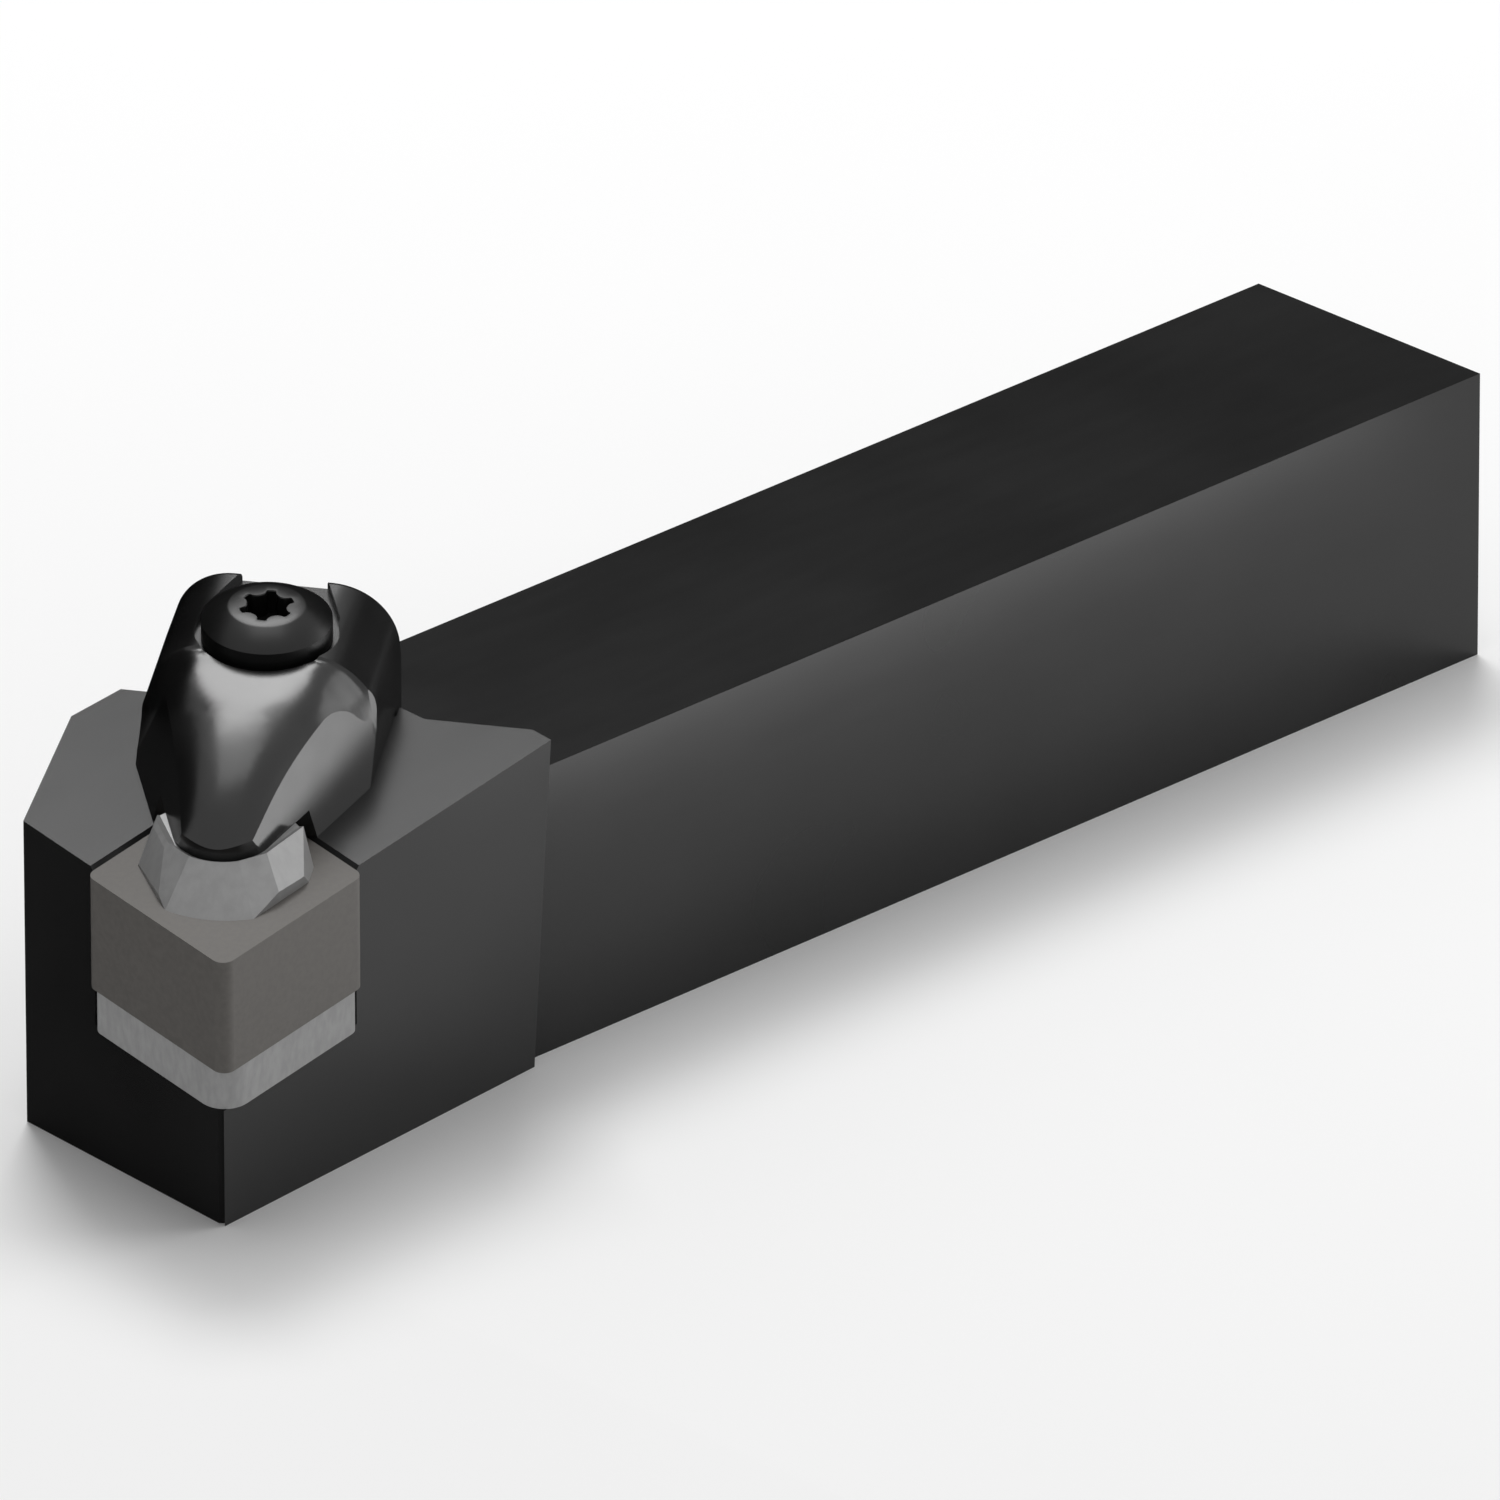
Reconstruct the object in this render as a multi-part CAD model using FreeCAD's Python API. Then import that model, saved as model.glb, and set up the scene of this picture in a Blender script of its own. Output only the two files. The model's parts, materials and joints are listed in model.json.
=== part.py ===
"""Right-hand turning tool holder with a top clamp for a plain 80 degree insert.

Row frame, in millimetres: X runs along the shank, with the cutting tip towards
-X, and is 0 where the origin lies on the underside, a named distance in front of
the rear end. Y is 0 in the middle of the shank, and the cutting side is -Y. Z is
0 on the underside of the shank.
"""
import FreeCAD, Part
import math
import os

V = FreeCAD.Vector

# Shank and head
shank_height = 19.05
shank_width = 19.05
overall_length = 114.3
origin_from_rear = 38.1
tip_offset = 25.4
tip_height = 19.05
head_length = 30.65
head_top_rise = 0.15
head_end_lean = 1.9
front_inset = 0.66
side_inset = 0.735
front_corner_flat = 0.72
far_corner_width = 6.05
far_corner_angle = 31.5
head_back_slope = 30.0
ear_length = 1.0
near_ear_width = 1.7
far_ear_width = 0.6
ear_root = 2.0

# Cutting insert and its seat
insert_circle = 12.7
insert_angle = 80.0
insert_thickness = 7.9375
nose_radius = 0.794
seat_tilt = 6.0
seat_clearance = 0.02
pocket_edge_chamfer = 0.3
pocket_corner_relief = 0.8

# Shim and its screw
shim_thickness = 3.175
shim_inset = 0.25
shim_corner_radius = 1.7
shim_side_radius = 0.8
shim_screw_radius = 1.75
shim_screw_length = 9.5
shim_head_radius = 2.9
shim_head_depth = 1.7
shim_head_sink = 0.25
shim_hole_gap = 0.15
shim_socket_radius = 1.2
shim_socket_scallop_radius = 0.456
shim_socket_depth = 1.1

# Clamp
clamp_skew = 10.17
clamp_side_offset = 0.316
clamp_half_width = 7.17
clamp_height = 7.6
clamp_shoulder_height = 2.85
near_crown_lean = 4.0
near_crown_radius = 4.15
far_crown_lean = 17.5
far_crown_radius = 3.6
clamp_rear = 21.2
clamp_rear_round = 0.5
clamp_side_taper = 20.35
clamp_side_draft = 14.0
clamp_taper_start = 10.6
nose_front = -1.62
nose_lip = 0.85
nose_rise_length = 5.3
step_front = 4.82
slope_excess = 0.2
slope_end = 12.8
slope_undercut = 0.12
slope_narrowing = 1.0
slope_narrowing_run = 1.5
slope_widening = 1.6
slope_exit = 0.6
slope_steepest = 2.9
slope_softness = 0.07
slope_stations = 46
slope_columns = 26
crown_drop = 1.05
crown_run = 1.5
crown_turn = 8.3
crown_growth = 0.16
crown_power_front = 2.4
crown_power_rear = 7.0
clamp_hole_gap = 0.25

# Heel of the clamp and the edge behind which it hooks
heel_edge = 18.53
heel_depth = 2.6
heel_gap = 0.12
heel_overlap = 0.4

# Clamp screw
screw_reach = 15.375
screw_radius = 2.5
screw_head_radius = 3.97
screw_head_band = 1.34
screw_head_height = 2.28
screw_flat_radius = 2.29
screw_length = 19.0
socket_radius = 1.63
socket_scallop_radius = 0.62
socket_scallop_shift = 0.27
socket_depth = 1.6
seat_depth = 0.7
seat_radius = 4.4
slot_front_half = 4.1
slot_rear_half = 2.6
thread_gap = 0.05
tapped_hole_spare = 2.0
entry_chamfer = 0.4

# Lifting spring
spring_wire = 0.8
spring_mean_radius = 3.2
spring_turns = 4.5
spring_bore_depth = 5.0
spring_bore_gap = 0.4
spring_end_gap = 0.02

# Pressure pad and its pin
pad_rise = 2.3
pad_recess = 0.3
pad_recess_bevel = 0.45
pad_front_radius = 3.57
pad_front_half_angle = 24.8
pad_front = -2.1
pad_ramp = 2.83
pad_cheek_turn = -0.62
pad_cheek_half = 3.0
pad_cheek_slope = 26.6
pad_half_width = 5.2
pad_foot_shift = -0.2
pad_flank_front = -4.05
pad_flank_half = 2.87
pad_flank_angle = 30.0
pad_flank_wide = 0.15
pad_flank_end = 1.75
pad_tail_slope = 42.0
pad_side_draft = 19.0
pad_near_slope = 43.0
pad_far_slope = 59.0
pad_far_land = 0.15
pad_rear_gap = 0.35
pad_edge_margin = 0.15
pin_radius = 1.0
pin_gap = 0.03
pin_at = 1.5
pin_in_pad = 1.0
pin_in_clamp = 2.2

# Directions and places worked out from the sizes above
tip_x = origin_from_rear - overall_length
far_side = shank_width / 2
cutting_side = -shank_width / 2
half_angle = math.radians(insert_angle / 2)
slope = math.tan(math.radians(seat_tilt))
centre_to_corner = insert_circle / 2 / math.sin(half_angle)
up = V(-slope, -slope, 1).normalize()
back = V(1, 1, 2 * slope).normalize()
across = up.cross(back)
nose_centre = V(
    tip_x + nose_radius,
    far_side - tip_offset + nose_radius,
    tip_height,
)
tip = nose_centre - back * (nose_radius / math.sin(half_angle))
tip = tip + V(0, 0, tip_height - tip.z)
insert_centre = tip + back * centre_to_corner
pocket_depth = insert_thickness + shim_thickness
seat_frame = FreeCAD.Placement(
    FreeCAD.Matrix(
        back.x, across.x, up.x, insert_centre.x,
        back.y, across.y, up.y, insert_centre.y,
        back.z, across.z, up.z, insert_centre.z,
        0, 0, 0, 1,
    )
)
skew = math.radians(clamp_skew)
clamp_frame = seat_frame * FreeCAD.Placement(
    V(clamp_side_offset * math.sin(skew), clamp_side_offset * math.cos(skew), 0),
    FreeCAD.Rotation(V(0, 0, 1), -clamp_skew),
)
clamp_floor = head_top_rise
clamp_top = clamp_floor + clamp_height
screw_seat = clamp_top - seat_depth
pad_seat = pad_rise - pad_recess
spring_floor = clamp_floor - spring_bore_depth
screw_tip = screw_seat - screw_length
far = 4 * overall_length


def placed(shape, frame):
    """Return a copy of a shape moved from a local frame into the row frame."""
    moved = shape.copy()
    moved.Placement = frame * moved.Placement
    return moved


def polygon_face(points):
    """Return the flat face inside a closed run of straight edges."""
    return Part.Face(Part.makePolygon(list(points) + [points[0]]))


def prism(outline, low, high):
    """Extrude a plan outline of (x, y) pairs from height low to height high."""
    face = polygon_face([V(x, y, low) for x, y in outline])
    return face.extrude(V(0, 0, high - low))


def slab(point, normal, size=400.0):
    """Return a block that fills the side of a plane that its normal points to."""
    turn = FreeCAD.Rotation(V(0, 0, 1), normal)
    block = Part.makeBox(2 * size, 2 * size, size, V(-size, -size, 0))
    return placed(block, FreeCAD.Placement(point, turn))


def rod(radius, low, high, x=0.0, y=0.0):
    """Return an upright cylinder between two heights."""
    return Part.makeCylinder(radius, high - low, V(x, y, low))


def cone(low_radius, high_radius, low, high, x=0.0, y=0.0):
    """Return an upright cone between two heights."""
    return Part.makeCone(low_radius, high_radius, high - low, V(x, y, low))


def rhombus(inset):
    """Return the four corners of the insert's outline, moved inwards."""
    reach = (insert_circle / 2 - inset) / math.sin(half_angle)
    width = reach * math.tan(half_angle)
    return [(-reach, 0), (0, -width), (reach, 0), (0, width)]


def rounded_rhombus(inset, sharp_radius, blunt_radius, low, high):
    """Return a prism of the insert's outline with its sharp and its blunt corners rounded."""
    corners = [V(x, y, low) for x, y in rhombus(inset)]
    arcs = []
    for place, corner in enumerate(corners):
        sharp = place % 2 == 0
        radius = sharp_radius if sharp else blunt_radius
        half = half_angle if sharp else math.pi / 2 - half_angle
        to_last = (corners[place - 1] - corner).normalize()
        to_next = (corners[(place + 1) % 4] - corner).normalize()
        inward = (to_last + to_next).normalize()
        arcs.append((
            corner + to_last * (radius / math.tan(half)),
            corner + inward * (radius / math.sin(half) - radius),
            corner + to_next * (radius / math.tan(half)),
        ))
    edges = []
    for place, (start, middle, end) in enumerate(arcs):
        edges.append(Part.makeLine(arcs[place - 1][2], start))
        edges.append(Part.Arc(start, middle, end).toShape())
    return Part.Face(Part.Wire(edges)).extrude(V(0, 0, high - low))


def six_lobe(radius, scallop, low, high, x=0.0):
    """Return the solid that a six-lobe socket removes."""
    core = rod(radius, low, high, x)
    reach = radius + socket_scallop_shift * scallop
    for step in range(6):
        turn = math.radians(60 * step + 30)
        core = core.cut(rod(scallop, low, high, x + reach * math.cos(turn), reach * math.sin(turn)))
    return core


def seat_point(x, y, rise):
    """Return the point above a row-frame plan position that lies on the tilted seat plane."""
    z = insert_centre.z + rise / up.z
    z = z - ((x - insert_centre.x) * up.x + (y - insert_centre.y) * up.y) / up.z
    return V(x, y, z)


def clamp_point(x, y, z):
    """Return a point of the clamp's own frame in the row frame."""
    return clamp_frame.multVec(V(x, y, z))


def plan_cross(point, direction, other, other_direction):
    """Return where two plan lines cross."""
    gap = other - point
    span = direction.x * other_direction.y - direction.y * other_direction.x
    reach = (gap.x * other_direction.y - gap.y * other_direction.x) / span
    return point + direction * reach


def head_outline():
    """Return the plan corners of the head's top face, before its far side is cut flush."""
    front_line = seat_frame.Rotation.multVec(V(math.cos(half_angle), math.sin(half_angle), 0))
    side_line = seat_frame.Rotation.multVec(V(math.cos(half_angle), -math.sin(half_angle), 0))
    front_in = seat_frame.Rotation.multVec(V(math.sin(half_angle), -math.cos(half_angle), 0))
    side_in = seat_frame.Rotation.multVec(V(math.sin(half_angle), math.cos(half_angle), 0))
    front_start = tip + front_in * front_inset
    side_start = tip + side_in * side_inset
    back_line = clamp_frame.Rotation.multVec(V(0, 1, 0))
    back_start = clamp_point(heel_edge, 0, clamp_floor)
    corner_start = V(0, far_side - far_corner_width, 0)
    near = plan_cross(front_start, front_line, side_start, side_line)
    far_front = plan_cross(front_start, front_line, corner_start, V(1, 0, 0))
    turn = math.radians(far_corner_angle)
    spare = 2 * far_side * V(math.cos(turn), math.sin(turn), 0)
    side_end = plan_cross(side_start, side_line, back_start, back_line)
    far_back = plan_cross(far_front, spare, back_start, back_line)
    return [near, far_front, far_back, side_end]


def make_head():
    """Build the raised head: a block square to the seat, trimmed to the shank's faces."""
    corners = [seat_point(p.x, p.y, head_top_rise) for p in head_outline()]
    drop = (shank_height + tip_height) / up.z
    head = polygon_face(corners).extrude(up * -drop)
    top = seat_point(tip.x, tip.y, head_top_rise)
    head = head.cut(slab(V(0, far_side, 0), V(0, 1, 0)))
    head = head.cut(slab(V(0, 0, 0), V(0, 0, -1)))
    flat_reach = front_corner_flat / 2 / math.tan(half_angle)
    inset = (front_inset + side_inset) / 2 / math.sin(half_angle)
    head = head.cut(slab(top + back * (inset + flat_reach), back * -1))
    return head


def make_back_ramp():
    """Return the material behind the head's top edge that slopes down to the shank."""
    run = heel_edge + shank_height * math.tan(math.radians(head_back_slope))
    block = prism(
        [(heel_edge - 6, -25), (run, -25), (run, 25), (heel_edge - 6, 25)],
        clamp_floor - 1.5 * shank_height,
        clamp_floor,
    )
    lean = math.radians(head_back_slope)
    block = block.cut(slab(V(heel_edge, 0, clamp_floor), V(math.cos(lean), 0, math.sin(lean))))
    return placed(block, clamp_frame)


def make_ears():
    """Return the two ears that guide the sides of the clamp's heel."""
    inner = clamp_half_width + heel_gap
    ears = []
    for side, width in ((-1, near_ear_width), (1, far_ear_width)):
        outline = [
            (heel_edge - ear_root, side * inner),
            (heel_edge + ear_length, side * inner),
            (heel_edge, side * (inner + width)),
            (heel_edge - ear_root, side * (inner + width)),
        ]
        ears.append(placed(prism(outline, clamp_floor - shank_height / 2, clamp_floor), clamp_frame))
    return ears


def make_pocket():
    """Return the space of the insert pocket, square to the seat."""
    outline = rhombus(-seat_clearance)
    pocket = prism(outline, -pocket_depth, far)
    reach = outline[2][0]
    open_front = prism(
        [(-far, -far), (0, outline[1][1]), (0, outline[3][1]), (-far, far)],
        -pocket_depth,
        far,
    )
    pocket = pocket.fuse(open_front)
    pocket = pocket.fuse(rod(pocket_corner_relief, -pocket_depth, far, reach))
    edge = rhombus(-seat_clearance - pocket_edge_chamfer)
    low = rhombus(-seat_clearance)
    rim_low = Part.makePolygon([V(x, y, head_top_rise - pocket_edge_chamfer) for x, y in low + low[:1]])
    rim_high = Part.makePolygon([V(x, y, head_top_rise) for x, y in edge + edge[:1]])
    pocket = pocket.fuse(Part.makeLoft([rim_low, rim_high], True, True))
    return placed(pocket, seat_frame)


def shank_start():
    """Return where the shank begins in the head, halfway between the head's corners on its far side."""
    near, far_front, far_back, side_end = head_outline()
    side_point = V(0, far_side, 0)
    corner_end = plan_cross(far_front, far_back - far_front, side_point, V(1, 0, 0))
    back_end = plan_cross(far_back, side_end - far_back, side_point, V(1, 0, 0))
    return (corner_end.x + back_end.x) / 2


def make_holder_body():
    """Build the steel body: shank, head, insert pocket and the tapped holes."""
    head = make_head()
    ramp = make_back_ramp()
    end_x = tip_x + head_length
    lean = math.radians(head_end_lean)
    end_cut = slab(V(end_x, 0, tip_height + 4), V(math.cos(lean), 0, math.sin(lean)))
    shank_front = shank_start()
    shank_length = origin_from_rear - shank_front
    shank = Part.makeBox(shank_length, shank_width, shank_height, V(shank_front, cutting_side, 0))
    shank_zone = Part.makeBox(2 * far, shank_width, far, V(-far, cutting_side, 0))
    above = Part.makeBox(2 * far, 2 * far, far, V(-far, -far, 0))
    side_block = head.fuse(extend_side(end_x)).cut(end_cut)
    raised = ramp.common(shank_zone).common(above).cut(slab(V(shank_front, 0, 0), V(-1, 0, 0)))
    body = side_block.fuse([shank, raised] + [ear.common(shank_zone) for ear in make_ears()])
    body = body.cut(make_pocket())
    body = body.cut(placed(screw_bore(), clamp_frame))
    body = body.cut(placed(shim_bore(), seat_frame))
    return body.removeSplitter()


def extend_side(end_x):
    """Return the strip of the head that stands out beyond the shank's cutting side."""
    corners = head_outline()
    near = corners[0]
    end = corners[3]
    run = end - near
    reach = (end_x + shank_width / 2 - near.x) / run.x
    outer = near + run * reach
    strip = [near, outer, V(outer.x, cutting_side + 3, 0), V(near.x + 12, cutting_side + 3, 0)]
    top = [seat_point(p.x, p.y, head_top_rise) for p in strip]
    block = polygon_face(top).extrude(up * -(shank_height + tip_height))
    block = block.cut(slab(V(0, 0, 0), V(0, 0, -1)))
    lean = math.radians(head_back_slope)
    tilted = clamp_frame.Rotation.multVec(V(math.cos(lean), 0, math.sin(lean)))
    above = slab(clamp_point(heel_edge, 0, clamp_floor), tilted)
    return block.cut(above.common(Part.makeBox(2 * far, 2 * far, far, V(-far, -far, shank_height))))


def screw_bore():
    """Return the clamp screw's tapped hole and the wide bore for its spring."""
    bore_radius = spring_mean_radius + spring_wire / 2 + spring_bore_gap
    bore = rod(bore_radius, spring_floor, clamp_floor + 1, screw_reach)
    hole = rod(screw_radius + thread_gap, screw_tip - tapped_hole_spare, clamp_floor, screw_reach)
    entry = clamp_floor - entry_chamfer
    chamfer = cone(bore_radius, bore_radius + entry_chamfer, entry, clamp_floor, screw_reach)
    return bore.fuse([hole, chamfer])


def shim_bore():
    """Return the tapped hole under the shim."""
    low = -insert_thickness - shim_head_sink - shim_screw_length - 1
    return rod(shim_screw_radius + thread_gap, low, -insert_thickness)


def make_shim():
    """Build the hard shim with its countersunk hole."""
    top = -insert_thickness
    low = top - shim_thickness
    shim = rounded_rhombus(shim_inset, shim_corner_radius, shim_side_radius, low, top)
    reach = shim_head_radius + shim_hole_gap
    shim = shim.cut(rod(shim_screw_radius + shim_hole_gap, low, top))
    shim = shim.cut(rod(reach, top - shim_head_sink, top))
    sink = cone(shim_screw_radius + shim_hole_gap, reach, top - shim_head_sink - shim_head_depth,
                top - shim_head_sink)
    return placed(shim.cut(sink), seat_frame)


def make_shim_screw():
    """Build the countersunk screw that holds the shim down."""
    top = -insert_thickness - shim_head_sink
    screw = rod(shim_screw_radius, top - shim_screw_length, top - shim_head_depth)
    screw = screw.fuse(cone(shim_screw_radius, shim_head_radius, top - shim_head_depth, top))
    socket = six_lobe(shim_socket_radius, shim_socket_scallop_radius, top - shim_socket_depth, top)
    return placed(screw.cut(socket), seat_frame)


def make_insert():
    """Build the plain insert: an 80 degree rhombus with upright sides and round corners."""
    return placed(rounded_rhombus(0, nose_radius, nose_radius, -insert_thickness, 0), seat_frame)


def nose_radius_at_seat():
    """Return the radius of the round nose that runs smoothly into both tapered sides."""
    taper = math.radians(clamp_side_taper)
    lean = math.tan(math.radians(clamp_side_draft)) / math.cos(taper)
    half = clamp_half_width + (nose_front - clamp_taper_start) * math.tan(taper)
    half = half - (pad_seat - clamp_floor) * lean
    return half * math.cos(taper) / (1 - math.sin(taper))


def crown_place(lean_angle, radius):
    """Return the lean, its top height, its inward run and the middle of the round above it."""
    lean = math.radians(lean_angle)
    top_of_lean = clamp_top - radius + radius * math.sin(lean)
    leaned = (top_of_lean - clamp_floor - clamp_shoulder_height) * math.tan(lean)
    return lean, top_of_lean, leaned, clamp_half_width - leaned - radius * math.cos(lean)


def section_height(y):
    """Return the height of the crown's round at one distance from the clamp's middle."""
    lean_angle = near_crown_lean if y < 0 else far_crown_lean
    radius = near_crown_radius if y < 0 else far_crown_radius
    centre = crown_place(lean_angle, radius)[3]
    steepest = math.sin(math.atan(slope_steepest)) * radius
    reach = max(0.0, abs(y) - centre)
    beyond = max(0.0, reach - steepest)
    reach = min(reach, steepest)
    return clamp_top - radius + math.sqrt(radius ** 2 - reach ** 2) - beyond * slope_steepest


def crown_height(x, y):
    """Return the height of the clamp's front slope above one place in its plan."""
    fall = clamp_top + slope_excess - pad_seat - nose_lip
    ridge = clamp_top + slope_excess - fall * math.exp(-(x - nose_front) / nose_rise_length)
    drop = crown_drop * (1 - math.exp(-(x - nose_front) / crown_run))
    drop = drop + crown_growth * max(0.0, x - crown_turn) ** 2
    taper = math.radians(clamp_side_taper)
    lean = math.tan(math.radians(clamp_side_draft)) / math.cos(taper)
    side = clamp_half_width + (x - clamp_taper_start) * math.tan(taper)
    side = max(1.0, side - lean * (ridge - drop - clamp_floor))
    change = min(1.0, max(0.0, (x - crown_turn + 1) / 4))
    power = crown_power_front + (crown_power_rear - crown_power_front) * change
    share = abs(y) / side
    bend = share ** power if share < 1 else 1 + power * (share - 1)
    ahead = max(0.0, slope_end - x)
    behind = max(0.0, x - slope_end)
    front = ridge - drop * bend + slope_widening * behind
    narrowing = slope_undercut + slope_narrowing * (1 - math.exp(-ahead / slope_narrowing_run))
    place = max(0.0, abs(y) + narrowing - slope_widening * behind)
    around = section_height(math.copysign(place, y)) + slope_exit * behind
    lower = min(front, around)
    spread = abs(front - around) / slope_softness
    return lower - slope_softness * math.log(1 + math.exp(-spread))


def above_front_slope():
    """Return the space above the clamp's front slope."""
    front = nose_front - 0.4
    reach = clamp_half_width + 0.6
    run = (screw_reach + 2 - front) / slope_stations
    width = reach / slope_columns
    heights = [[crown_height(front + run * row, width * (column - slope_columns))
                for column in range(2 * slope_columns + 1)] for row in range(slope_stations + 1)]
    surface = Part.BSplineSurface()
    surface.interpolate(heights, front, run, -reach, width)
    return surface.toShape().extrude(V(0, 0, 3 * clamp_top))


def crown_side(x, side, lean_angle, radius):
    """Return the lean and the round of one side of the clamp's cross-section, from the shoulder up."""
    lean, top_of_lean, leaned, centre_y = crown_place(lean_angle, radius)
    shoulder = clamp_floor + clamp_shoulder_height
    centre_z = clamp_top - radius
    middle = (lean + math.pi / 2) / 2
    start = V(x, side * (clamp_half_width - leaned), top_of_lean)
    halfway = V(
        x,
        side * (centre_y + radius * math.cos(middle)),
        centre_z + radius * math.sin(middle),
    )
    end = V(x, side * centre_y, clamp_top)
    line = Part.makeLine(V(x, side * clamp_half_width, shoulder), start)
    return line, Part.Arc(start, halfway, end).toShape(), end


def clamp_outline(x):
    """Return the closed cross-section that the whole clamp stays inside."""
    half = clamp_half_width
    shoulder = clamp_floor + clamp_shoulder_height
    near_line, near_arc, near_end = crown_side(x, -1, near_crown_lean, near_crown_radius)
    far_line, far_arc, far_end = crown_side(x, 1, far_crown_lean, far_crown_radius)
    return Part.Wire([
        Part.makeLine(V(x, -half, clamp_floor), V(x, half, clamp_floor)),
        Part.makeLine(V(x, half, clamp_floor), V(x, half, shoulder)),
        far_line,
        far_arc,
        Part.makeLine(far_end, near_end),
        near_arc,
        near_line,
        Part.makeLine(V(x, -half, shoulder), V(x, -half, clamp_floor)),
    ])


def make_clamp():
    """Build the clamp: a long nose, a round back with a screw seat, and a hooked heel."""
    block = Part.Face(clamp_outline(nose_front)).extrude(V(clamp_rear - nose_front, 0, 0))
    block = block.makeFillet(clamp_rear_round, rear_edges(block, clamp_floor))
    taper = math.radians(clamp_side_taper)
    draft = math.radians(clamp_side_draft)
    for side in (-1, 1):
        outward = V(-math.sin(taper) * math.cos(draft), side * math.cos(taper) * math.cos(draft),
                    math.sin(draft))
        block = block.cut(slab(V(clamp_taper_start, side * clamp_half_width, clamp_floor), outward))
    clamp = block.cut(nose_waste())
    clamp = clamp.cut(prism([(-20, -20), (step_front, -20), (step_front, 20), (-20, 20)], -10, pad_seat))
    clamp = clamp.cut(above_front_slope())
    clamp = clamp.fuse(make_heel())
    clamp = clamp.cut(screw_seat_space())
    clamp = clamp.cut(rod(screw_radius + clamp_hole_gap, clamp_floor - 1, clamp_top + 1, screw_reach))
    clamp = clamp.cut(rod(pin_radius + pin_gap, pad_seat - 1, pad_seat + pin_in_clamp, pin_at))
    return placed(clamp.removeSplitter(), clamp_frame)


def rear_edges(block, low):
    """Return the edges of the clamp's rear face that reach above a height."""
    return [edge for edge in block.Edges
            if edge.BoundBox.XMin > clamp_rear - 0.01 and edge.BoundBox.ZMax > low + 0.05]


def nose_waste():
    """Return what is cut away to round the front of the nose."""
    radius = nose_radius_at_seat()
    edge = nose_front + radius * (1 - math.sin(math.radians(clamp_side_taper)))
    waste = prism([(-20, -20), (edge, -20), (edge, 20), (-20, 20)], -5, 20)
    return waste.cut(rod(radius, -5, 20, nose_front + radius))


def make_heel():
    """Return the wedge that hooks behind the head's back edge."""
    lean = math.tan(math.radians(head_back_slope))
    front = heel_edge + heel_gap
    outline = [
        V(front - heel_overlap * lean, 0, clamp_floor + heel_overlap),
        V(front, 0, clamp_floor),
        V(front + heel_depth * lean, 0, clamp_floor - heel_depth),
        V(clamp_rear, 0, clamp_floor - heel_depth),
        V(clamp_rear, 0, clamp_floor + heel_overlap),
    ]
    outline = [p + V(0, -clamp_half_width, 0) for p in outline]
    heel = polygon_face(outline).extrude(V(0, 2 * clamp_half_width, 0))
    uprights = [edge for edge in rear_edges(heel, clamp_floor) if edge.BoundBox.ZLength > heel_depth]
    return heel.makeFillet(clamp_rear_round, uprights)


def screw_seat_space():
    """Return the spot face of the screw and the slot that opens it to the rear."""
    space = rod(seat_radius, screw_seat, clamp_top + 5, screw_reach)
    mouth = clamp_rear + 5
    narrowing = (slot_front_half - slot_rear_half) / (clamp_rear - screw_reach - 2)
    mouth_half = slot_rear_half - 5 * narrowing
    slot = prism(
        [
            (screw_reach, -slot_front_half),
            (screw_reach + 2, -slot_front_half),
            (mouth, -mouth_half),
            (mouth, mouth_half),
            (screw_reach + 2, slot_front_half),
            (screw_reach, slot_front_half),
        ],
        screw_seat,
        clamp_top + 5,
    )
    return space.fuse(slot)


def make_clamp_screw():
    """Build the clamp screw: a low domed head with a six-lobe socket and a plain thread body."""
    rim = screw_seat + screw_head_band
    top = screw_seat + screw_head_height
    rise = top - rim
    wide = screw_head_radius
    flat = screw_flat_radius
    depth = (wide ** 2 - flat ** 2 - rise ** 2) / (2 * rise)
    dome_radius = math.hypot(wide, depth)
    middle = math.atan2((wide + flat) / 2, depth + rise / 2)
    arc = Part.Arc(
        V(wide, 0, rim),
        V(dome_radius * math.sin(middle), 0, rim - depth + dome_radius * math.cos(middle)),
        V(flat, 0, top),
    )
    outline = Part.Wire([
        Part.makeLine(V(0, 0, screw_seat), V(wide, 0, screw_seat)),
        Part.makeLine(V(wide, 0, screw_seat), V(wide, 0, rim)),
        arc.toShape(),
        Part.makeLine(V(flat, 0, top), V(0, 0, top)),
        Part.makeLine(V(0, 0, top), V(0, 0, screw_seat)),
    ])
    head = Part.Face(outline).revolve(V(0, 0, 0), V(0, 0, 1), 360)
    stem = rod(screw_radius, screw_tip + entry_chamfer, screw_seat)
    point = cone(screw_radius - entry_chamfer, screw_radius, screw_tip, screw_tip + entry_chamfer)
    screw = head.fuse([stem, point])
    screw = screw.cut(six_lobe(socket_radius, socket_scallop_radius, top - socket_depth, top))
    screw.translate(V(screw_reach, 0, 0))
    return placed(screw.removeSplitter(), clamp_frame)


def make_clamp_spring():
    """Build the coil spring that lifts the clamp when the screw is loosened."""
    low = spring_floor + spring_end_gap + spring_wire / 2
    high = clamp_floor - spring_end_gap - spring_wire / 2
    pitch = (high - low) / spring_turns
    helix = Part.makeHelix(pitch, high - low, spring_mean_radius)
    tangent = V(0, 2 * math.pi * spring_mean_radius, pitch)
    profile = Part.Wire([Part.makeCircle(spring_wire / 2, V(spring_mean_radius, 0, 0), tangent)])
    spring = Part.Wire(helix.Edges).makePipeShell([profile], True, True)
    spring.translate(V(screw_reach, 0, low))
    return placed(spring, clamp_frame)


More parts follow.
